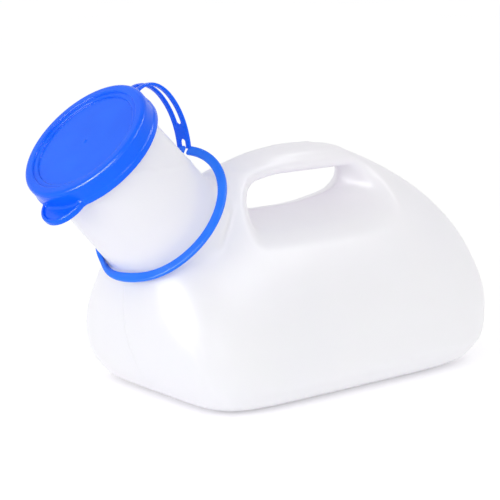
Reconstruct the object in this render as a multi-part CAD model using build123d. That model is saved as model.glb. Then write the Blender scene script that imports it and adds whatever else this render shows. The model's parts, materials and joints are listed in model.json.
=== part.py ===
from build123d import *
import math
import os

# A hospital urine bottle. It is two mouldings: a blow-moulded bottle with its neck and handle
# in one piece, and an injection-moulded cap whose lid, tether strap and neck ring are one piece.
# Frame: +Z is up, the neck leans towards -X, the handle runs back towards +X, the base stands
# on Z = 0, and the origin is under the middle of the object's bounding box. All sizes are mm.

# ---------------------------------------------------------------- bottle body
WALL = 1.3                  # blow-moulded wall, measured level
SHOULDER_WALL = 2.0         # the same wall measured level where it leans over
BASE_WALL = 1.5
# level outlines of the body, from the base up:
# (height, front X, rear X, half width, squareness of its corners: 2 is an ellipse)
BODY_OUTLINES = [
    (0.0, -54.0, 91.5, 46.0, 6.5),
    (2.5, -59.5, 100.5, 51.5, 6.2),
    (8.0, -65.0, 108.5, 56.0, 5.8),
    (25.0, -74.0, 118.5, 58.0, 4.8),
    (48.0, -77.5, 121.0, 52.0, 3.6),
    (70.0, -73.0, 112.0, 38.5, 3.0),
    (86.0, -59.5, 95.0, 24.5, 2.7),
    (97.0, -41.0, 76.0, 15.5, 2.4),
    (105.0, -19.5, 57.5, 11.0, 2.2),
    (109.5, -1.5, 44.5, 7.2, 2.1),
    (111.2, 8.5, 34.5, 3.6, 2.0),
]
OUTLINE_POINTS = 28

# ---------------------------------------------------------------- neck
NECK_TILT = 46.0            # degrees, neck axis above level
NECK_TOP_RADIUS = 27.9      # at the rim
NECK_ROOT_RADIUS = 29.6     # where the neck's cone ends inside the body
BORE_RADIUS = 26.6
BEAD_RADIUS = 30.2          # the lid's skirt goes over this bead at the mouth
BEAD_HEIGHT = 3.0
SEAT_X = -90.5              # the seat is on the neck axis, level with the lid's lower edge
SEAT_Z = 116.4
RIM_ABOVE_SEAT = 7.4        # the mouth's rim stands this far up inside the lid
NECK_DEPTH = 60.0           # how far the neck reaches down from the seat

# ---------------------------------------------------------------- handle opening
# its sides on the middle plane, and how far each has moved out at GRIP_REACH to either side
GRIP_FRONT, GRIP_FRONT_FLARE = -13.5, 10.0
GRIP_REAR, GRIP_REAR_FLARE = 52.0, 34.0
GRIP_REAR_MOST = 18.5       # the rear's flare levels off here
GRIP_BOTTOM, GRIP_BOTTOM_FLARE = 81.9, 5.5
GRIP_TOP, GRIP_TOP_FLARE = 98.6, 2.0
GRIP_REACH = 25.0
# how far each corner's arc reaches along X and Z: bottom front, bottom rear, top rear, top front
GRIP_CORNERS = ((5.5, 5.5), (26.0, 9.5), (5.0, 6.0), (16.0, 8.5))
GRIP_SECTIONS = (-46, -32, -22, -14, -7, 0, 7, 14, 22, 32, 46)
GRIP_WALL = 1.8             # measured level, because the opening's sides lean

# ---------------------------------------------------------------- lid
LID_RADIUS = 32.7           # at the skirt's lower edge
LID_TOP_RADIUS = 32.3
LID_HEIGHT = 10.4
LID_PLATE = 1.3             # thickness of the sunk middle
SKIRT_BORE_RADIUS = 31.0
LID_EDGE_RADIUS = 2.2
STEP_RADII = (27.4, 25.4)   # two steps down to the sunk middle
STEP_DEPTH = 0.8            # of each step
TAB_RADIUS = 12.5
TAB_CENTRE = 28.3           # from the lid's axis
TAB_THICKNESS = 2.2
TAB_RIM_WIDTH = 1.6
TAB_RIM_HEIGHT = 0.9

# ---------------------------------------------------------------- tether
CAP_TURN = 10.0             # degrees, the cap's turn on the neck, tab towards -Y
RING_DROP = 43.0            # the ring's middle below the seat, along the neck
RING_OFFSET = (1.4, -1.4)   # it hangs a little towards the strap and towards -Y
RING_OUTER_RADIUS = 36.6
RING_INNER_RADIUS = 32.2
RING_THICKNESS = 2.0
RING_TILT_BACK = 6.3        # degrees, the strap's side is lifted
RING_TILT_SIDE = 7.1        # degrees, the +Y side is lifted
STRIP_WIDTH = 2.6           # the strap is two strips side by side
STRIP_GAP = 3.2
STRAP_THICKNESS = 1.4
STRAP_START = 33.4          # from the lid's axis, where the strap leaves the lid's lugs
STRAP_HEIGHT = 2.9          # of that place above the seat
ARCH_RADIUS = 11.6          # the bend beside the lid
ARCH_STRAIGHT = 6.0         # below the bend
STRAP_END = (35.6, -39.6)   # in the ring: from the lid's axis, and above the seat
BRIDGE_TOP = -29.5          # the bridge joins the strips between these heights
BRIDGE_BOTTOM = -34.5
MOULDING_GAP = 0.02         # between the lid's lugs and the strap, which are one moulding


# ---------------------------------------------------------------- frames
tilt = math.radians(NECK_TILT)
turn = math.radians(CAP_TURN)
neck_axis = Vector(-math.cos(tilt), 0, math.sin(tilt))
neck_rear = Vector(math.sin(tilt), 0, math.cos(tilt))
cap_rear = neck_rear * math.cos(turn) + Vector(0, 1, 0) * math.sin(turn)
seat = Vector(SEAT_X, 0, SEAT_Z)
# both frames stand on the seat with Z out of the mouth; X points to the back of the neck
# in one and to the strap in the other
neck_frame = Plane(origin=seat, x_dir=neck_rear, z_dir=neck_axis).location
cap_frame = Plane(origin=seat, x_dir=cap_rear, z_dir=neck_axis).location


# ---------------------------------------------------------------- bottle
def outline(height, front, rear, half_width, squareness):
    """One closed level outline, a superellipse."""
    middle = (front + rear) / 2
    half_length = (rear - front) / 2
    points = []
    for i in range(OUTLINE_POINTS):
        angle = 2 * math.pi * (i + 0.5) / OUTLINE_POINTS
        along = abs(math.cos(angle)) ** (2 / squareness)
        across = abs(math.sin(angle)) ** (2 / squareness)
        x = middle + half_length * math.copysign(along, math.cos(angle))
        y = half_width * math.copysign(across, math.sin(angle))
        points.append((x, y, height))
    return Wire([Edge.make_spline(points, periodic=True)])


def cavity_outlines():
    """The body's outlines moved in by the wall, from the top of the base up."""
    top = BODY_OUTLINES[-1][0]
    squash = (top - WALL - BASE_WALL) / top
    rows = []
    for height, front, rear, half_width, squareness in BODY_OUTLINES:
        wall = WALL + (SHOULDER_WALL - WALL) * height / top
        rows.append((BASE_WALL + height * squash, front + wall, rear - wall, half_width - wall, squareness))
    return rows


def neck_outside():
    """The neck's slight cone, with the bead round its mouth."""
    length = RIM_ABOVE_SEAT + NECK_DEPTH
    cone = Pos(0, 0, RIM_ABOVE_SEAT - length / 2) * Cone(NECK_ROOT_RADIUS, NECK_TOP_RADIUS, length)
    bead = Pos(0, 0, RIM_ABOVE_SEAT - BEAD_HEIGHT / 2) * Cylinder(BEAD_RADIUS, BEAD_HEIGHT)
    return neck_frame * (cone + fillet(bead.edges(), BEAD_HEIGHT * 0.4))


def neck_bore():
    length = RIM_ABOVE_SEAT + NECK_DEPTH
    return neck_frame * Pos(0, 0, RIM_ABOVE_SEAT - length / 2) * Cylinder(BORE_RADIUS, length)


def grip_section(y, margin):
    """The finger opening's outline at one distance from the middle plane, larger by the margin."""
    flare = (y / GRIP_REACH) ** 2
    front = GRIP_FRONT - GRIP_FRONT_FLARE * flare - margin
    rear = GRIP_REAR + GRIP_REAR_MOST * math.tanh(GRIP_REAR_FLARE * flare / GRIP_REAR_MOST) + margin
    bottom = GRIP_BOTTOM - GRIP_BOTTOM_FLARE * flare - margin
    top = GRIP_TOP + GRIP_TOP_FLARE * flare + margin
    corners = [(front, bottom, 1, 1), (rear, bottom, -1, 1), (rear, top, -1, -1), (front, top, 1, -1)]
    arcs = []
    for i, ((x, z, in_x, in_z), (reach_x, reach_z)) in enumerate(zip(corners, GRIP_CORNERS)):
        along = in_x * (reach_x + margin)
        up = in_z * (reach_z + margin)
        level = Vector(x + along, y, z)
        upright = Vector(x, y, z + up)
        inset = 1 - math.sqrt(0.5)
        middle = Vector(x + inset * along, y, z + inset * up)
        ends = (upright, level) if i % 2 == 0 else (level, upright)
        arcs.append(Edge.make_three_point_arc(ends[0], middle, ends[1]))
    lines = [Edge.make_line(arcs[i] @ 1, arcs[(i + 1) % 4] @ 0) for i in range(4)]
    return Wire([edge for pair in zip(arcs, lines) for edge in pair])


def grip_slot(margin):
    """The finger opening, through the body along Y, flaring to both sides."""
    return Solid.make_loft([grip_section(y, margin) for y in GRIP_SECTIONS])


def make_bottle():
    body = Solid.make_loft([outline(*row) for row in BODY_OUTLINES])
    cavity = Solid.make_loft([outline(*row) for row in cavity_outlines()])
    outside = body + neck_outside()
    outside -= grip_slot(0)
    inside = cavity + neck_bore()
    inside -= grip_slot(GRIP_WALL)
    return outside - inside


# ---------------------------------------------------------------- cap
def make_lid():
    top = LID_HEIGHT
    shoulder = LID_TOP_RADIUS - LID_EDGE_RADIUS
    corner = LID_EDGE_RADIUS * (1 - math.sqrt(0.5))
    first, second = STEP_RADII
    sunk = top - 2 * STEP_DEPTH
    underside = sunk - LID_PLATE
    profile = Polyline(
        (0, underside),
        (SKIRT_BORE_RADIUS, underside),
        (SKIRT_BORE_RADIUS, 0),
        (LID_RADIUS, 0),
        (LID_TOP_RADIUS, top - LID_EDGE_RADIUS),
    )
    profile += ThreePointArc(
        (LID_TOP_RADIUS, top - LID_EDGE_RADIUS),
        (LID_TOP_RADIUS - corner, top - corner),
        (shoulder, top),
    )
    profile += Polyline(
        (shoulder, top),
        (first, top),
        (first, top - STEP_DEPTH),
        (second, top - STEP_DEPTH),
        (second, sunk),
        (0, sunk),
        (0, underside),
    )
    cap = revolve(Plane.XZ * make_face(profile), Axis.Z)
    inside_skirt = Cylinder((SKIRT_BORE_RADIUS + LID_RADIUS) / 2, 4 * LID_HEIGHT)
    return cap + (tab() - inside_skirt) + (lugs() - inside_skirt)


def tab():
    """The thumb tab: a round plate at the skirt's lower edge with a raised rim."""
    plate = Cylinder(TAB_RADIUS, TAB_THICKNESS + TAB_RIM_HEIGHT, align=(Align.CENTER, Align.CENTER, Align.MIN))
    dish = Cylinder(TAB_RADIUS - TAB_RIM_WIDTH, TAB_RIM_HEIGHT, align=(Align.CENTER, Align.CENTER, Align.MIN))
    return Pos(-TAB_CENTRE, 0, 0) * (plate - Pos(0, 0, TAB_THICKNESS) * dish)


def lugs():
    """The two roots that the strap's strips grow from, at the back of the skirt."""
    lug = Box(STRAP_START, STRIP_WIDTH, STRAP_THICKNESS, align=(Align.MIN, Align.CENTER, Align.CENTER))
    offset_y = (STRIP_GAP + STRIP_WIDTH) / 2
    return Pos(0, offset_y, STRAP_HEIGHT) * lug + Pos(0, -offset_y, STRAP_HEIGHT) * lug


def make_ring():
    band = Cylinder(RING_OUTER_RADIUS, RING_THICKNESS) - Cylinder(RING_INNER_RADIUS, RING_THICKNESS)
    lean = Rot(0, -RING_TILT_BACK, 0) * Rot(RING_TILT_SIDE, 0, 0)
    gap = Box(RING_OUTER_RADIUS, STRIP_GAP, RING_OUTER_RADIUS, align=(Align.MIN, Align.CENTER, Align.CENTER))
    return Pos(*RING_OFFSET, -RING_DROP) * lean * band - Pos(0, 0, -RING_DROP) * gap


def make_strap(ring):
    start = Vector(STRAP_START + MOULDING_GAP, 0, STRAP_HEIGHT)
    bend_end = start + Vector(ARCH_RADIUS, 0, -ARCH_RADIUS)
    straight_end = bend_end + Vector(0, 0, -ARCH_STRAIGHT)
    bend = Edge.make_tangent_arc(start, Vector(1, 0, 0), bend_end)
    straight = Edge.make_line(bend_end, straight_end)
    tuck = Edge.make_tangent_arc(straight_end, Vector(0, 0, -1), Vector(STRAP_END[0], 0, STRAP_END[1]))
    path = Wire([bend, straight, tuck])
    section = Plane(origin=start, x_dir=(0, 1, 0), z_dir=(1, 0, 0)) * Rectangle(
        STRIP_GAP + 2 * STRIP_WIDTH, STRAP_THICKNESS
    )
    band = sweep(section, path=path) - slot(BRIDGE_TOP, LID_HEIGHT) - slot(-RING_DROP, BRIDGE_BOTTOM, True)
    return (band - ring).solids().sort_by(SortBy.VOLUME)[-1]


def slot(low, high, round_top=False):
    """The gap between the strips from one height to another, round at its bridge end."""
    radius = STRIP_GAP / 2
    reach = ARCH_RADIUS + STRAP_START
    end = high - radius if round_top else low + radius
    far = low if round_top else high
    opening = Pos(STRAP_START, 0, (end + far) / 2) * Box(reach, STRIP_GAP, abs(end - far))
    return opening + Pos(STRAP_START, 0, end) * Rot(0, 90, 0) * Cylinder(radius, reach)


# ---------------------------------------------------------------- output
os.makedirs("parts", exist_ok=True)
ring = make_ring()
nodes = {
    "bottle": make_bottle(),
    "lid": cap_frame * make_lid(),
    "neck_ring": cap_frame * ring,
    "tether_strap": cap_frame * make_strap(ring),
}
for name, shape in nodes.items():
    export_step(shape, f"parts/{name}.step")
box = Compound(children=list(nodes.values())).bounding_box()
print("box", box.min, box.max)
for name, shape in nodes.items():
    print(name, len(shape.solids()), "solids", round(shape.volume), "mm3")
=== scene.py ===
import json
import math

import bmesh
import bpy
import numpy as np
from mathutils import Matrix, Vector


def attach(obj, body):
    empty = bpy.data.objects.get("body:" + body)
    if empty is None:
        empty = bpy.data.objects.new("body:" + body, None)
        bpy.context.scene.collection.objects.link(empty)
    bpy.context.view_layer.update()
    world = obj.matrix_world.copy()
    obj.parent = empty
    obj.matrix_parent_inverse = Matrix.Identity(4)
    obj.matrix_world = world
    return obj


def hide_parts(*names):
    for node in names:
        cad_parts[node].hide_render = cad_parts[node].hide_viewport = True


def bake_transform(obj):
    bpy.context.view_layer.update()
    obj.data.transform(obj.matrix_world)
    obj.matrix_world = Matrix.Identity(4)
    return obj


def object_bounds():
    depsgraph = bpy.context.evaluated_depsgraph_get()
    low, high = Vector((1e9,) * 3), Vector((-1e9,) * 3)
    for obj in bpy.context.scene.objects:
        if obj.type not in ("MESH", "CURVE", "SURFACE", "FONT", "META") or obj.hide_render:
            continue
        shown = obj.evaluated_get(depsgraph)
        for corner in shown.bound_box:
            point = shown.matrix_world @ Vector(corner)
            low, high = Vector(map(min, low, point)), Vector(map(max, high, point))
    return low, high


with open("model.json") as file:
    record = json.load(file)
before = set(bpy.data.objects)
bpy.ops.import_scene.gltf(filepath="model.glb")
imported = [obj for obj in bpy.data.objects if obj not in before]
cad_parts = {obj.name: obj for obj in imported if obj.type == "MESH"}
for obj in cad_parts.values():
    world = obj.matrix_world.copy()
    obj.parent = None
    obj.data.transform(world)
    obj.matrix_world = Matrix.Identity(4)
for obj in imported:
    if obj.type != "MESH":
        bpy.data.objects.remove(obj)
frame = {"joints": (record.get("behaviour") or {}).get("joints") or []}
cad_low, cad_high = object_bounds()

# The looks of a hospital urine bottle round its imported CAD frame. Lengths below are in mm, as in the
# CAD, and meshes are scaled to metres when they are made.
MM = 0.001

# ---------------------------------------------------------------- frames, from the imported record
joints = {j["name"]: j for j in frame["joints"]}
seat = np.array(joints["cap_swivel"]["pos_m"]) / MM     # on the neck's axis, at the lid's lower edge
neck_up = np.array(joints["cap_swivel"]["axis"])
cap_y = np.array(joints["lid_open"]["axis"])
cap_x = np.cross(cap_y, neck_up)                        # towards the strap


def from_cap(points):
    """Points in the cap's frame (X to the strap, Z out of the mouth) as points in the shared frame."""
    return seat + points[..., :1] * cap_x + points[..., 1:2] * cap_y + points[..., 2:] * neck_up


# ---------------------------------------------------------------- sizes
BODY_OUTLINES = np.array([
    # height, front X, rear X, half width, squareness of the corners
    (0.0, -54.0, 91.5, 46.0, 6.5),
    (2.5, -59.5, 100.5, 51.5, 6.2),
    (8.0, -65.0, 108.5, 56.0, 5.8),
    (25.0, -74.0, 118.5, 58.0, 4.8),
    (48.0, -77.5, 121.0, 52.0, 3.6),
    (70.0, -73.0, 112.0, 38.5, 3.0),
    (86.0, -59.5, 95.0, 24.5, 2.7),
    (97.0, -41.0, 76.0, 15.5, 2.4),
    (105.0, -19.5, 57.5, 11.0, 2.2),
    (109.5, -1.5, 44.5, 7.2, 2.1),
    (111.2, 8.5, 34.5, 3.6, 2.0),
])
WALL = 1.3
NECK_TOP_RADIUS, NECK_ROOT_RADIUS = 27.9, 29.6
RIM = 7.4                   # the mouth's rim above the seat
NECK_DEPTH = 60.0
BEAD_RADIUS, BEAD_HEIGHT = 30.2, 3.0
NECK_BLEND = 4.0
# The finger opening at the body's middle, and how far each side has drawn back GRIP_REACH off it.
GRIP_REACH = 25.0
GRIP_FRONT, GRIP_FRONT_FLARE = -13.5, 10.0
GRIP_REAR, GRIP_REAR_FLARE, GRIP_REAR_MOST = 52.8, 22.0, 17.0
GRIP_BOTTOM, GRIP_BOTTOM_FLARE = 81.9, 5.5
GRIP_TOP, GRIP_TOP_FLARE = 98.6, 2.0
GRIP_CORNERS = (4.5, 5.0, 5.5, 8.0)     # bottom front, bottom rear, top rear, top front
# the opening's lower edge rises towards the rear and its upper edge drops towards the front: (mm, over mm)
GRIP_REAR_RISE = (6.5, 40.0)
GRIP_FRONT_DROP = (4.4, 26.0)
GRIP_EDGE = 6.0                         # how softly the opening's edge rolls in
BASE_PUSH_UP = 1.0                      # the base's middle stands this much off the floor
BASE_MIDDLE, BASE_HALF_LENGTH, BASE_HALF_WIDTH = 18.0, 72.0, 40.0

LID_RADIUS, LID_HEIGHT, LID_EDGE = 32.6, 10.4, 2.0
SKIRT_BORE = 31.0
SKIRT_WAIST = 0.35          # the skirt is this much slimmer above its lower lip
LIP_HEIGHT = 3.0
STEP_RADII, STEP_DEPTH = (27.4, 25.2), 0.9
LID_UNDERSIDE = 7.5
GATE_RADIUS, GATE_SUNK = 1.1, 0.6       # the mould's gate mark, a low dome in the lid's middle
TAB_RADIUS, TAB_CENTRE, TAB_SIDE, TAB_THICKNESS = 12.5, 28.3, -1.5, 2.2
TAB_RIM_WIDTH, TAB_RIM_HEIGHT = 1.6, 0.9

STRIP_WIDTH, STRIP_GAP, STRAP_THICKNESS = 2.6, 3.2, 1.4
STRAP_PATH = [              # two Bezier runs in the cap's X-Z plane
    ((33.0, 1.8), (41.8, 1.9), (47.4, -5.0), (47.1, -14.5)),
    ((47.1, -14.5), (46.8, -24.0), (42.4, -32.4), (36.3, -38.9)),
]
BRIDGE = (40.0, 47.0)       # along the strap, where the two strips join
LUG_MIDDLE, LUG_HALF_LENGTH, LUG_HEIGHT = 32.4, 1.4, 1.8

RING_MIDDLE = np.array((1.4, -1.4, -43.0))
RING_RADIUS, RING_WIDTH, RING_THICKNESS = 34.4, 4.4, 2.0
RING_TILT_BACK, RING_TILT_SIDE = 6.3, 7.1
# On the tab's side the ring comes to lie against the neck, stands upright and hangs lower. Each of these
# comes in over a range of degrees round the ring from the strap, and all of them end over RING_FREE.
RING_HUG = 30.2             # the band's inner edge where it lies against the neck
RING_HUG_LIFT, RING_UPRIGHT_DROP, RING_LOW_DROP = 0.5, 1.5, 2.0
RING_HUGS, RING_STANDS, RING_HANGS, RING_FREE = (145, 190), (170, 220), (190, 222), (285, 335)
RING_STEPS = 220


# ---------------------------------------------------------------- shapes as distance fields
def smooth_min(a, b, k):
    """The smaller of two distances, blended where they differ by less than k."""
    h = np.clip(0.5 + 0.5 * (b - a) / k, 0, 1)
    return b + (a - b) * h - k * h * (1 - h)


def smooth_max(a, b, k):
    return -smooth_min(-a, -b, k)


def smoothstep(low, high, x):
    t = np.clip((x - low) / (high - low), 0, 1)
    return t * t * (3 - 2 * t)


def rounded_box(u, v, half_u, half_v, radius):
    """Distance to a rectangle with round corners."""
    qu = np.abs(u) - half_u + radius
    qv = np.abs(v) - half_v + radius
    return np.hypot(np.maximum(qu, 0), np.maximum(qv, 0)) + np.minimum(np.maximum(qu, qv), 0) - radius


def through_rows(z, rows):
    """The outline's sizes at height z, on smooth curves through the rows."""
    heights, values = rows[:, 0], rows[:, 1:]
    gap = np.diff(heights)[:, None]
    slope = np.diff(values, axis=0) / gap
    inner = (slope[:-1] * gap[1:] + slope[1:] * gap[:-1]) / (gap[1:] + gap[:-1])
    tangent = np.vstack([slope[:1], inner, slope[-1:]])
    i = np.clip(np.searchsorted(heights, z) - 1, 0, len(heights) - 2)
    width = gap[i, 0]
    t = np.clip((z - heights[i]) / width, 0, 1)[..., None]
    width = width[..., None]
    return (
        values[i] * (1 + 2 * t) * (1 - t) ** 2
        + tangent[i] * width * t * (1 - t) ** 2
        + values[i + 1] * t * t * (3 - 2 * t)
        - tangent[i + 1] * width * t * t * (1 - t)
    )


def outline_share(x, y, z):
    """1 on the body's wall, less inside it and more outside."""
    sizes = through_rows(z, BODY_OUTLINES)
    front, rear, half_width, squareness = (sizes[..., i] for i in range(4))
    along = np.abs(x - (front + rear) / 2) / ((rear - front) / 2)
    across = np.abs(y) / half_width
    return (along ** squareness + across ** squareness) ** (1 / squareness)


def body_distance(x, y, z):
    """The body without its opening: the outlines' wall, the pushed-up base and the top."""
    share = outline_share(x, y, z)
    step = 0.2
    slope = np.sqrt(
        (outline_share(x + step, y, z) - share) ** 2
        + (outline_share(x, y + step, z) - share) ** 2
        + (outline_share(x, y, z - step) - share) ** 2
    ) / step
    wall = (share - 1) / np.maximum(slope, 0.002)
    share_x = (x - BASE_MIDDLE) / BASE_HALF_LENGTH
    share_y = y / BASE_HALF_WIDTH
    push_up = BASE_PUSH_UP * (1 - smoothstep(0.75, 1.0, (share_x ** 4 + share_y ** 4) ** 0.25))
    wall = smooth_max(wall, push_up - z, 0.8)
    return smooth_max(wall, z - BODY_OUTLINES[-1, 0] - 0.3, 2.0)


def neck_distance(x, y, z):
    """The neck's slight cone and the bead round its mouth; it runs on past the mouth, to be cut there."""
    up = (x - seat[0]) * neck_up[0] + (z - seat[2]) * neck_up[2]
    side = (x - seat[0]) * neck_up[2] - (z - seat[2]) * neck_up[0]
    radius = np.hypot(side, y)
    share = (RIM - up) / (RIM + NECK_DEPTH)
    cone = radius - (NECK_TOP_RADIUS + (NECK_ROOT_RADIUS - NECK_TOP_RADIUS) * share)
    bead_middle = (NECK_TOP_RADIUS - 1 + BEAD_RADIUS) / 2
    bead = rounded_box(
        radius - bead_middle, up - RIM + BEAD_HEIGHT / 2, BEAD_RADIUS - bead_middle, BEAD_HEIGHT / 2, 1.2
    )
    cone = smooth_min(cone, bead, 0.8)
    return np.maximum(np.maximum(cone, -NECK_DEPTH - up), up - RIM - 3)


def grip_distance(x, y, z):
    """The finger opening, narrowest in the body's middle and flaring out to both sides."""
    flare = np.hypot(y / GRIP_REACH, 0.12) - 0.12
    front = GRIP_FRONT - GRIP_FRONT_FLARE * flare
    rear = GRIP_REAR + GRIP_REAR_MOST * np.tanh(GRIP_REAR_FLARE * flare / GRIP_REAR_MOST)
    rise = GRIP_REAR_RISE[0] * np.clip(1 - (rear - x) / GRIP_REAR_RISE[1], 0, 1.1) ** 2.4
    drop = GRIP_FRONT_DROP[0] * np.clip(1 - (x - front) / GRIP_FRONT_DROP[1], 0, 1.2) ** 2
    bottom = GRIP_BOTTOM - GRIP_BOTTOM_FLARE * flare + rise
    top = GRIP_TOP + GRIP_TOP_FLARE * flare - drop
    u, v = x - (front + rear) / 2, z - (bottom + top) / 2
    bottom_front, bottom_rear, top_rear, top_front = GRIP_CORNERS
    lower = np.where(u < 0, bottom_front, bottom_rear)
    upper = np.where(u < 0, top_front, top_rear)
    corner = np.where(v < 0, lower, upper)
    half_height = (top - bottom) / 2
    return rounded_box(u, v, (rear - front) / 2, half_height, np.minimum(corner, half_height))


def bottle_distance(p):
    """The bottle's outside, with the neck run on past the mouth."""
    x, y, z = p[..., 0], p[..., 1], p[..., 2]
    body = body_distance(x, y, z)
    body = smooth_max(body, -grip_distance(x, y, z), GRIP_EDGE)
    return smooth_min(body, neck_distance(x, y, z), NECK_BLEND)


def lid_distance(p):
    """The lid in the cap's frame: skirt with its lip, sunk steps, gate mark, tab, lugs and hollow."""
    x, y, z = p[..., 0], p[..., 1], p[..., 2]
    radius = np.hypot(x, y)
    waist = SKIRT_WAIST * smoothstep(LIP_HEIGHT - 0.8, LIP_HEIGHT + 0.8, z)
    lid = rounded_box(radius + waist, z - LID_HEIGHT / 2, LID_RADIUS, LID_HEIGHT / 2, LID_EDGE)
    lower = rounded_box(radius, z - LIP_HEIGHT / 2, LID_RADIUS, LIP_HEIGHT / 2, 0.5)
    lid = smooth_min(lid, lower, 0.3)
    for i, step_radius in enumerate(STEP_RADII):
        floor = LID_HEIGHT - (i + 1) * STEP_DEPTH
        lid = smooth_max(lid, -np.maximum(radius - step_radius, floor - z), 0.7)
    gate_z = LID_HEIGHT - 2 * STEP_DEPTH - GATE_SUNK
    gate = np.sqrt(x * x + y * y + (z - gate_z) ** 2) - GATE_RADIUS
    lid = smooth_min(lid, gate, 0.4)
    lid = smooth_min(lid, tab_distance(x, y, z), 1.0)
    lid = smooth_min(lid, lug_distance(x, y, z), 0.5)
    hollow = rounded_box(radius, z - LID_UNDERSIDE + 10, SKIRT_BORE, 10, 0.6)
    return smooth_max(lid, -hollow, 0.3)


def tab_distance(x, y, z):
    """The thumb tab: a round plate at the skirt's lower edge with a raised rim."""
    radius = np.hypot(x + TAB_CENTRE, y - TAB_SIDE)
    height = TAB_THICKNESS + TAB_RIM_HEIGHT
    plate = rounded_box(radius, z - height / 2, TAB_RADIUS, height / 2, 0.8)
    dish = rounded_box(radius, z - height, TAB_RADIUS - TAB_RIM_WIDTH, TAB_RIM_HEIGHT, 0.6)
    return smooth_max(plate, -dish, 0.5)


def lug_distance(x, y, z):
    """The two lugs at the back of the skirt that the strap's strips grow from."""
    across = np.abs(y) - (STRIP_GAP + STRIP_WIDTH) / 2
    section = rounded_box(across, z - LUG_HEIGHT, STRIP_WIDTH / 2, STRAP_THICKNESS / 2, 0.4)
    return np.maximum(section, np.abs(x - LUG_MIDDLE) - LUG_HALF_LENGTH)


def strap_distance(p):
    """The strap laid out flat: X along it, Y across it, Z through it."""
    along, across, through = p[..., 0], p[..., 1], p[..., 2]
    length = STRAP_LINE[-1, 0]
    half_width = STRIP_GAP / 2 + STRIP_WIDTH
    sheet = rounded_box(along - length / 2, across, length / 2, half_width, 0.3)
    for low, high in ((-10, BRIDGE[0]), (BRIDGE[1], length + 10)):
        slot = rounded_box(along - (low + high) / 2, across, (high - low) / 2, STRIP_GAP / 2, STRIP_GAP / 2)
        sheet = np.maximum(sheet, -slot)
    faces = np.abs(through) - STRAP_THICKNESS / 2
    return smooth_max(sheet, faces, 0.5)


# ---------------------------------------------------------------- from a field to a mesh
def surface_net(field, low, step):
    """Vertices and quads of the field's zero level, facing out."""
    strides = np.array([(field.shape[1] - 1) * (field.shape[2] - 1), field.shape[2] - 1, 1])
    cells, points, quads = [], [], []
    for axis in range(3):
        u, v = (axis + 1) % 3, (axis + 2) % 3
        near = field[tuple(slice(0, -1) if k == axis else slice(None) for k in range(3))]
        far = field[tuple(slice(1, None) if k == axis else slice(None) for k in range(3))]
        edge = np.argwhere((near < 0) != (far < 0))
        a, b = near[tuple(edge.T)], far[tuple(edge.T)]
        point = edge.astype(float)
        point[:, axis] += a / (a - b)
        corners = []
        for back_u, back_v in ((1, 1), (0, 1), (0, 0), (1, 0)):
            cell = edge.copy()
            cell[:, u] -= back_u
            cell[:, v] -= back_v
            corners.append(cell @ strides)
            points.append(point)
        cells += corners
        quad = np.stack(corners, 1)
        quad[a >= 0] = quad[a >= 0, ::-1]
        quads.append(quad)
    ids, index = np.unique(np.concatenate(cells), return_inverse=True)
    points = np.concatenate(points)
    index = index.ravel()
    middle = np.stack([np.bincount(index, points[:, k]) for k in range(3)], 1) / np.bincount(index)[:, None]
    return low + step * middle, np.searchsorted(ids, np.concatenate(quads))


def slope_of(distance, points, reach):
    """The field's slope at the points, read this far to either side of them."""
    sides = reach * np.eye(3)
    return np.stack([distance(points + side) - distance(points - side) for side in sides], -1) / (2 * reach)


def settle(points, quads, distance, step, rounds):
    """Evens out the vertices and puts them exactly on the field's surface."""
    a = quads.ravel()
    b = np.roll(quads, -1, axis=1).ravel()
    near = np.concatenate([a, b]), np.concatenate([b, a])
    count = np.bincount(near[0], minlength=len(points))[:, None]
    for _ in range(rounds):
        total = np.stack([np.bincount(near[0], points[near[1], k], len(points)) for k in range(3)], 1)
        mean = total / count
        points = points + 0.5 * (mean - points)
        for _ in range(2):
            value = distance(points)
            slope = slope_of(distance, points, 0.05)
            size = np.maximum((slope ** 2).sum(-1), 0.05)
            move = np.clip(value / size, -0.5 * step, 0.5 * step)
            points = points - slope * move[:, None]
    return points


def mesh_object(name, points, faces):
    """A smooth-shaded mesh object from points in mm."""
    mesh = bpy.data.meshes.new(name)
    mesh.from_pydata((points * MM).tolist(), [], faces.tolist())
    mesh.shade_smooth()
    obj = bpy.data.objects.new(name, mesh)
    bpy.context.scene.collection.objects.link(obj)
    return obj


def field_object(name, distance, low, high, step, rounds, place=None):
    """A closed mesh of the shape that the distance field gives, moved by the function place, if any."""
    axes = [np.arange(a, b + step, step) for a, b in zip(low, high)]
    field = np.stack(
        [distance(np.stack(np.meshgrid([x], axes[1], axes[2], indexing="ij"), -1))[0] for x in axes[0]]
    )
    points, quads = surface_net(field, np.array(low, float), step)
    points = settle(points, quads, distance, step, rounds)
    return mesh_object(name, points if place is None else place(points), quads)


def exact_normals(obj, distance):
    """Shades a cap piece with the field's own slope, so that fine steps give clean highlights."""
    points = np.empty(len(obj.data.vertices) * 3)
    obj.data.vertices.foreach_get("co", points)
    points = points.reshape(-1, 3) / MM - seat
    axes = np.stack([cap_x, cap_y, neck_up], 1)
    points = points @ axes
    slope = slope_of(distance, points, 0.12)
    slope /= np.linalg.norm(slope, axis=1)[:, None]
    obj.data.normals_split_custom_set_from_vertices((slope @ axes.T).tolist())


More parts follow.
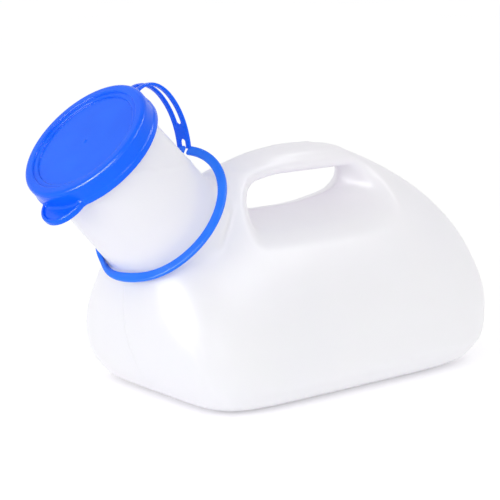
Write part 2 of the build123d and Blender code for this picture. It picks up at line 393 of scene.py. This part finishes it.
# ---------------------------------------------------------------- the bottle
def make_bottle():
    """The blow-moulded bottle: one outside surface, cut open at the mouth and given its wall."""
    low = (cad_low.x / MM - 6, cad_low.y / MM - 3, -3)
    high = (cad_high.x / MM + 3, cad_high.y / MM + 3, cad_high.z / MM + 5)
    step = 1.4
    bottle = field_object("bottle_body", bottle_distance, low, high, step, 3)
    cut = bmesh.new()
    cut.from_mesh(bottle.data)
    bmesh.ops.bisect_plane(
        cut,
        geom=cut.verts[:] + cut.edges[:] + cut.faces[:],
        plane_co=Vector((seat + RIM * neck_up) * MM),
        plane_no=Vector(neck_up),
        clear_outer=True,
    )
    cut.to_mesh(bottle.data)
    cut.free()
    shell = bottle.modifiers.new("wall", "SOLIDIFY")
    shell.thickness = WALL * MM
    shell.offset = -1
    apply_modifiers(bottle)
    bottle.data.set_sharp_from_angle(angle=math.radians(50))
    return bottle


def apply_modifiers(obj):
    """Turns the object's modifiers into its own mesh."""
    evaluated = obj.evaluated_get(bpy.context.evaluated_depsgraph_get())
    mesh = bpy.data.meshes.new_from_object(evaluated)
    obj.modifiers.clear()
    obj.data = mesh


# ---------------------------------------------------------------- the cap
def make_lid():
    """The lid with its skirt, steps, tab and the two lugs that the strap grows from."""
    step = 0.5
    lid = field_object("lid_cap", lid_distance, (-42.5, -34.5, -1.5), (36, 34.5, 12), step, 2, from_cap)
    exact_normals(lid, lid_distance)
    return lid


def bezier(a, b, c, d, t):
    """Points of a cubic Bezier curve at the shares t."""
    t = t[:, None]
    return (1 - t) ** 3 * a + 3 * t * (1 - t) ** 2 * b + 3 * t * t * (1 - t) * c + t ** 3 * d


def strap_line():
    """Rows of: length along the strap, X and Z of its middle line, X and Z of its direction."""
    t = np.linspace(0, 1, 60)
    runs = [bezier(*(np.array(p, float) for p in run), t) for run in STRAP_PATH]
    line = np.vstack([runs[0], runs[1][1:]])
    along = np.concatenate([[0], np.cumsum(np.hypot(*np.diff(line, axis=0).T))])
    direction = np.gradient(line, along, axis=0)
    direction /= np.hypot(*direction.T)[:, None]
    return np.column_stack([along, line, direction])


STRAP_LINE = strap_line()


def bend_strap(points):
    """Takes the flat strap's points to their place along its bent line."""
    along, across, through = points.T
    x, z, dx, dz = (np.interp(along, STRAP_LINE[:, 0], STRAP_LINE[:, k]) for k in range(1, 5))
    return from_cap(np.column_stack([x - dz * through, across, z + dx * through]))


def make_strap():
    """The tether strap, made flat and then bent."""
    half_width = STRIP_GAP / 2 + STRIP_WIDTH
    return field_object(
        "tether_band",
        strap_distance,
        (-1, -half_width - 1, -1.6),
        (STRAP_LINE[-1, 0] + 1, half_width + 1, 1.6),
        0.4,
        1,
        bend_strap,
    )


def ring_section(turn):
    """A round-cornered flat section, turned from lying flat (0) to standing upright (1)."""
    corner = 0.7
    flat_width, flat_thickness = RING_WIDTH / 2 - corner, RING_THICKNESS / 2 - corner
    points = []
    for side_x, side_z, start in ((1, 1, 0), (-1, 1, 90), (-1, -1, 180), (1, -1, 270)):
        for k in range(5):
            angle = math.radians(start + 22.5 * k)
            x = side_x * flat_width + corner * math.cos(angle)
            z = side_z * flat_thickness + corner * math.sin(angle)
            points.append((x, z))
    points = np.array(points)
    angle = turn * math.pi / 2
    c, s = math.cos(angle), math.sin(angle)
    return points @ np.array([[c, s], [-s, c]])


def ring_row(angle, tilt):
    """The band's section at this angle round the ring from the strap, in the cap's frame."""
    outward = np.array((math.cos(angle), math.sin(angle), 0))
    turned = -math.degrees(angle)
    back = 1 - smoothstep(*RING_FREE, turned)
    hug = smoothstep(*RING_HUGS, turned) * back
    upright = smoothstep(*RING_STANDS, turned) * back
    low = smoothstep(*RING_HANGS, turned) * back
    section = ring_section(upright)
    middle = RING_MIDDLE + tilt @ (RING_RADIUS * outward)
    radius = RING_HUG - section[:, 0].min()
    height = middle[2] + RING_HUG_LIFT - RING_UPRIGHT_DROP * upright - RING_LOW_DROP * low
    against = np.array((*(radius * outward[:2]), height))
    middle = middle + hug * (against - middle)
    return middle + (section[:, :1] * outward + section[:, 1:] * np.array((0, 0, 1))) @ tilt.T


def tube_faces(rows, count):
    """Quads between neighbouring rows of count points each, and a face over either end."""
    first = np.arange(rows - 1)[:, None] * count
    here = np.arange(count)
    after = (here + 1) % count
    quads = np.stack([first + here, first + after, first + count + after, first + count + here], -1)
    faces = quads.reshape(-1, 4).tolist()
    faces.append(list(range(count))[::-1])
    faces.append([(rows - 1) * count + k for k in range(count)])
    return faces


def make_ring():
    """The neck ring: a flat band round the neck's root, open between the strap's legs."""
    tilt_back = Matrix.Rotation(-math.radians(RING_TILT_BACK), 3, "Y")
    tilt_side = Matrix.Rotation(math.radians(RING_TILT_SIDE), 3, "X")
    tilt = np.array(tilt_back @ tilt_side)
    gap = math.asin(STRIP_GAP / 2 / RING_RADIUS)
    angles = np.linspace(-gap, -2 * math.pi + gap, RING_STEPS)
    points = np.array([ring_row(angle, tilt) for angle in angles])
    mesh = bpy.data.meshes.new("neck_ring_band")
    places = (from_cap(points.reshape(-1, 3)) * MM).tolist()
    mesh.from_pydata(places, [], tube_faces(RING_STEPS, points.shape[1]))
    facing = bmesh.new()
    facing.from_mesh(mesh)
    bmesh.ops.recalc_face_normals(facing, faces=facing.faces[:])
    facing.to_mesh(mesh)
    facing.free()
    mesh.shade_smooth()
    mesh.set_sharp_from_angle(angle=math.radians(60))
    obj = bpy.data.objects.new("neck_ring_band", mesh)
    bpy.context.scene.collection.objects.link(obj)
    return obj


# ---------------------------------------------------------------- materials
MILKY = (0.9, 0.885, 0.955), (0.915, 0.895, 0.95)
NECK_PAINTED_SHADE_AND_LID_REFLECTION = (0.865, 0.845, 0.935)      # painted shade and a painted reflection of the lid's blue: the neck is a little darker and more lilac
UPPER_BODY_TINT = (0.985, 0.965, 0.975)     # and the body's upper part a little warmer
SEAM_HALF_WIDTH = 0.0007                # the mould's parting line, in metres
BLUE = (0.002, 0.115, 0.9), (0.004, 0.135, 0.95)
THIN_BLUE = (0.014, 0.165, 0.88), (0.022, 0.195, 0.92)      # paler, as light comes through the thin band


def new_material(name):
    material = bpy.data.materials.new(name)
    material.use_nodes = True
    nodes = material.node_tree.nodes
    return material, nodes, material.node_tree.links, nodes["Principled BSDF"]


def noise(nodes, links, where, scale, detail):
    texture = nodes.new("ShaderNodeTexNoise")
    texture.inputs["Scale"].default_value = scale
    texture.inputs["Detail"].default_value = detail
    links.new(where, texture.inputs["Vector"])
    return texture.outputs["Fac"]


def ramp(nodes, links, value, stops):
    """A colour ramp with stops of (position, colour or grey)."""
    node = nodes.new("ShaderNodeValToRGB")
    elements = node.color_ramp.elements
    while len(elements) < len(stops):
        elements.new(0.5)
    for element, (position, colour) in zip(elements, stops):
        element.position = position
        element.color = (*colour, 1) if isinstance(colour, tuple) else (colour, colour, colour, 1)
    links.new(value, node.inputs["Fac"])
    return node.outputs["Color"]


def map_range(nodes, links, value, low, high, to_low, to_high):
    node = nodes.new("ShaderNodeMapRange")
    node.inputs["From Min"].default_value = low
    node.inputs["From Max"].default_value = high
    node.inputs["To Min"].default_value = to_low
    node.inputs["To Max"].default_value = to_high
    links.new(value, node.inputs["Value"])
    return node.outputs["Result"]


def absolute(nodes, links, value):
    node = nodes.new("ShaderNodeMath")
    node.operation = "ABSOLUTE"
    links.new(value, node.inputs[0])
    return node.outputs["Value"]


def mix_colour(nodes, links, share, a, b, kind="MIX"):
    """Blends two colours; share, a and b are each a fixed value or another node's output."""
    node = nodes.new("ShaderNodeMix")
    node.data_type = "RGBA"
    node.blend_type = kind
    colour_a = [s for s in node.inputs if s.name == "A" and s.type == "RGBA"][0]
    colour_b = [s for s in node.inputs if s.name == "B" and s.type == "RGBA"][0]
    for socket, value in ((node.inputs["Factor"], share), (colour_a, a), (colour_b, b)):
        if isinstance(value, tuple):
            socket.default_value = (*value, 1)
        elif isinstance(value, (int, float)):
            socket.default_value = value
        else:
            links.new(value, socket)
    return [s for s in node.outputs if s.type == "RGBA"][0]


def bump(nodes, links, height, strength, distance, normal=None):
    node = nodes.new("ShaderNodeBump")
    node.inputs["Strength"].default_value = strength
    node.inputs["Distance"].default_value = distance
    links.new(height, node.inputs["Height"])
    if normal is not None:
        links.new(normal, node.inputs["Normal"])
    return node.outputs["Normal"]


def milky_plastic():
    """Natural polyethylene: milky, faintly lilac, with soft flow marks and the mould's parting line, and
    painted shade and a painted blue reflection of the lid on the neck.
    """
    material, nodes, links, shader = new_material("milky_polyethylene")
    where = nodes.new("ShaderNodeTexCoord").outputs["Object"]
    split = nodes.new("ShaderNodeSeparateXYZ")
    links.new(where, split.inputs["Vector"])
    y, z = split.outputs["Y"], split.outputs["Z"]
    cloud = noise(nodes, links, where, 14, 2)
    tint = ramp(nodes, links, cloud, [(0.35, MILKY[0]), (0.65, MILKY[1])])
    height = map_range(nodes, links, z, 0.03, 0.11, 0, 1)
    upper = mix_colour(nodes, links, height, (1.0, 1.0, 1.0), UPPER_BODY_TINT)
    colour = mix_colour(nodes, links, 1.0, tint, upper, "MULTIPLY")
    # painted shade and a painted reflection of the lid's blue: the neck is made darker and more lilac than
    # the body
    along_neck = nodes.new("ShaderNodeVectorMath")
    along_neck.operation = "DOT_PRODUCT"
    along_neck.inputs[1].default_value = tuple(neck_up)
    links.new(where, along_neck.inputs[0])
    foot = float(seat @ neck_up) * MM
    neck = map_range(nodes, links, along_neck.outputs["Value"], foot - 0.05, foot - 0.03, 0, 1)
    colour = mix_colour(nodes, links, neck, colour, NECK_PAINTED_SHADE_AND_LID_REFLECTION)
    links.new(colour, shader.inputs["Base Color"])
    stretched = nodes.new("ShaderNodeMapping")
    stretched.inputs["Scale"].default_value = (1.0, 1.0, 0.25)
    links.new(where, stretched.inputs["Vector"])
    flow = noise(nodes, links, stretched.outputs["Vector"], 60, 3)
    gloss = map_range(nodes, links, flow, 0.3, 0.7, 0.29, 0.36)
    links.new(gloss, shader.inputs["Roughness"])
    seam = map_range(nodes, links, absolute(nodes, links, y), 0.0, SEAM_HALF_WIDTH, 1, 0)
    normal = bump(nodes, links, flow, 0.12, 0.0006)
    normal = bump(nodes, links, seam, 0.5, 0.0004, normal)
    links.new(normal, shader.inputs["Normal"])
    shader.inputs["Subsurface Weight"].default_value = 0.5
    shader.inputs["Subsurface Radius"].default_value = (1.0, 0.9, 1.0)
    shader.inputs["Subsurface Scale"].default_value = 0.004
    shader.inputs["IOR"].default_value = 1.5
    shader.inputs["Specular IOR Level"].default_value = 0.15
    return material


def blue_plastic(name, dark, light):
    """Glossy bright blue moulded polyethylene with a trace of orange peel and handling marks."""
    material, nodes, links, shader = new_material(name)
    where = nodes.new("ShaderNodeTexCoord").outputs["Object"]
    cloud = noise(nodes, links, where, 40, 2)
    colour = ramp(nodes, links, cloud, [(0.3, dark), (0.7, light)])
    links.new(colour, shader.inputs["Base Color"])
    fine = noise(nodes, links, where, 900, 3)
    marks = noise(nodes, links, where, 160, 4)
    gloss = map_range(nodes, links, marks, 0.3, 0.7, 0.19, 0.25)
    links.new(gloss, shader.inputs["Roughness"])
    links.new(bump(nodes, links, fine, 0.06, 0.0002), shader.inputs["Normal"])
    shader.inputs["Subsurface Weight"].default_value = 0.12
    shader.inputs["Subsurface Radius"].default_value = (0.2, 0.5, 1.0)
    shader.inputs["Subsurface Scale"].default_value = 0.002
    shader.inputs["IOR"].default_value = 1.5
    shader.inputs["Specular IOR Level"].default_value = 0.16
    return material


def floor_material():
    """A plain, nearly white studio floor with a trace of light of its own."""
    material, nodes, links, shader = new_material("pale_floor")
    where = nodes.new("ShaderNodeTexCoord").outputs["Object"]
    cloud = noise(nodes, links, where, 3, 2)
    colour = ramp(nodes, links, cloud, [(0.3, 0.9), (0.7, 0.92)])
    links.new(colour, shader.inputs["Base Color"])
    shader.inputs["Roughness"].default_value = 0.9
    shader.inputs["Specular IOR Level"].default_value = 0.0
    shader.inputs["Emission Color"].default_value = (1, 1, 1, 1)
    shader.inputs["Emission Strength"].default_value = 0.16
    return material


# ---------------------------------------------------------------- the set
CAMERA_LENS = 122.2
CAMERA_TARGET = (-3.75, 0, 62.29)
CAMERA_DISTANCE = 808.88
CAMERA_AZIMUTH, CAMERA_ELEVATION = 39.39, 11.37     # degrees
LIGHTS_AIM = (-0.03, 0, 0.07)           # metres, as are the lights' own sizes and places
FLOOR_REACH = 12                        # metres


def make_camera():
    """A long lens, a little above the bottle and looking at its -Y side from the neck's end."""
    camera = bpy.data.objects.new("camera", bpy.data.cameras.new("camera"))
    bpy.context.scene.collection.objects.link(camera)
    camera.data.sensor_width = 36
    camera.data.lens = CAMERA_LENS
    camera.data.dof.use_dof = False
    azimuth = math.radians(CAMERA_AZIMUTH)
    elevation = math.radians(CAMERA_ELEVATION)
    away = Vector((
        -math.sin(azimuth) * math.cos(elevation),
        -math.cos(azimuth) * math.cos(elevation),
        math.sin(elevation),
    ))
    camera.location = (Vector(CAMERA_TARGET) + away * CAMERA_DISTANCE) * MM
    camera.rotation_euler = (-away).to_track_quat("-Z", "Y").to_euler()
    bpy.context.scene.camera = camera


def area_light(name, place, along, length, width, power, glint=False):
    """A soft box facing the bottle, its long side nearly along the direction given.

    A glint shows only as a reflection: it draws the bright lines on edges and adds no other light.
    """
    light = bpy.data.lights.new(name, "AREA")
    light.shape = "RECTANGLE"
    light.size = length
    light.size_y = width
    light.energy = power
    obj = bpy.data.objects.new(name, light)
    away = (Vector(place) - Vector(LIGHTS_AIM)).normalized()
    long_side = Vector(along) - Vector(along).dot(away) * away
    long_side.normalize()
    axes = Matrix((long_side, away.cross(long_side), away)).transposed()
    obj.matrix_world = Matrix.Translation(place) @ axes.to_4x4()
    obj.visible_diffuse = not glint
    bpy.context.scene.collection.objects.link(obj)


def make_floor():
    mesh = bpy.data.meshes.new("floor")
    corners = [(FLOOR_REACH * x, FLOOR_REACH * y, 0) for x, y in ((-1, -1), (1, -1), (1, 1), (-1, 1))]
    mesh.from_pydata(corners, [], [(0, 1, 2, 3)])
    mesh.materials.append(floor_material())
    floor = bpy.data.objects.new("floor", mesh)
    floor.location.z = -0.0002
    bpy.context.scene.collection.objects.link(floor)


def make_lights():
    """An even white surround, two soft boxes, and glints for the lid's and the body's edges."""
    world = bpy.data.worlds.new("studio")
    world.use_nodes = True
    background = world.node_tree.nodes["Background"]
    background.inputs["Color"].default_value = (1, 1, 1, 1)
    background.inputs["Strength"].default_value = 0.93
    bpy.context.scene.world = world
    bpy.context.scene.view_settings.view_transform = "Standard"
    area_light("key", (-1.3, -0.2, 0.35), (0, 1, 0), 0.7, 0.5, 2.4)
    area_light("front", (-0.6, -1.2, 0.5), (1, -0.4, 0), 1.1, 0.8, 1.5)
    area_light("strip_glint", (-1.04, -0.27, 0.42), (0.51, -0.77, 0.77), 1.2, 0.45, 50.0, True)
    area_light("top_glint", (0.3, -0.9, 1.0), (1, 0.3, 0), 0.5, 0.3, 7.0, True)
    area_light("left_glint", (-1.25, -0.27, 0.23), (0, 0, 1), 0.8, 0.15, 6.4, True)
    area_light("right_glint", (-0.4, -1.22, 0.23), (0, 0, 1), 0.8, 0.15, 3.8, True)
    area_light("rear_glint", (0.7, -0.5, 1.0), (0, 1, 0), 0.4, 0.3, 6.4, True)


def dress(obj, material, body, node):
    """Gives a piece its material and its body, and hides the CAD node that it stands in for."""
    obj.data.materials.clear()
    obj.data.materials.append(material)
    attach(obj, body)
    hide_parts(node)


milky = milky_plastic()
blue = blue_plastic("blue_polyethylene", *BLUE)
thin_blue = blue_plastic("thin_blue_polyethylene", *THIN_BLUE)
dress(make_bottle(), milky, "bottle", "bottle")
dress(make_lid(), blue, "lid", "lid")
dress(make_ring(), thin_blue, "tether", "neck_ring")

strap = make_strap()
strap.data.materials.append(blue)
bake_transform(strap)
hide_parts("tether_strap")

make_floor()
make_lights()
make_camera()
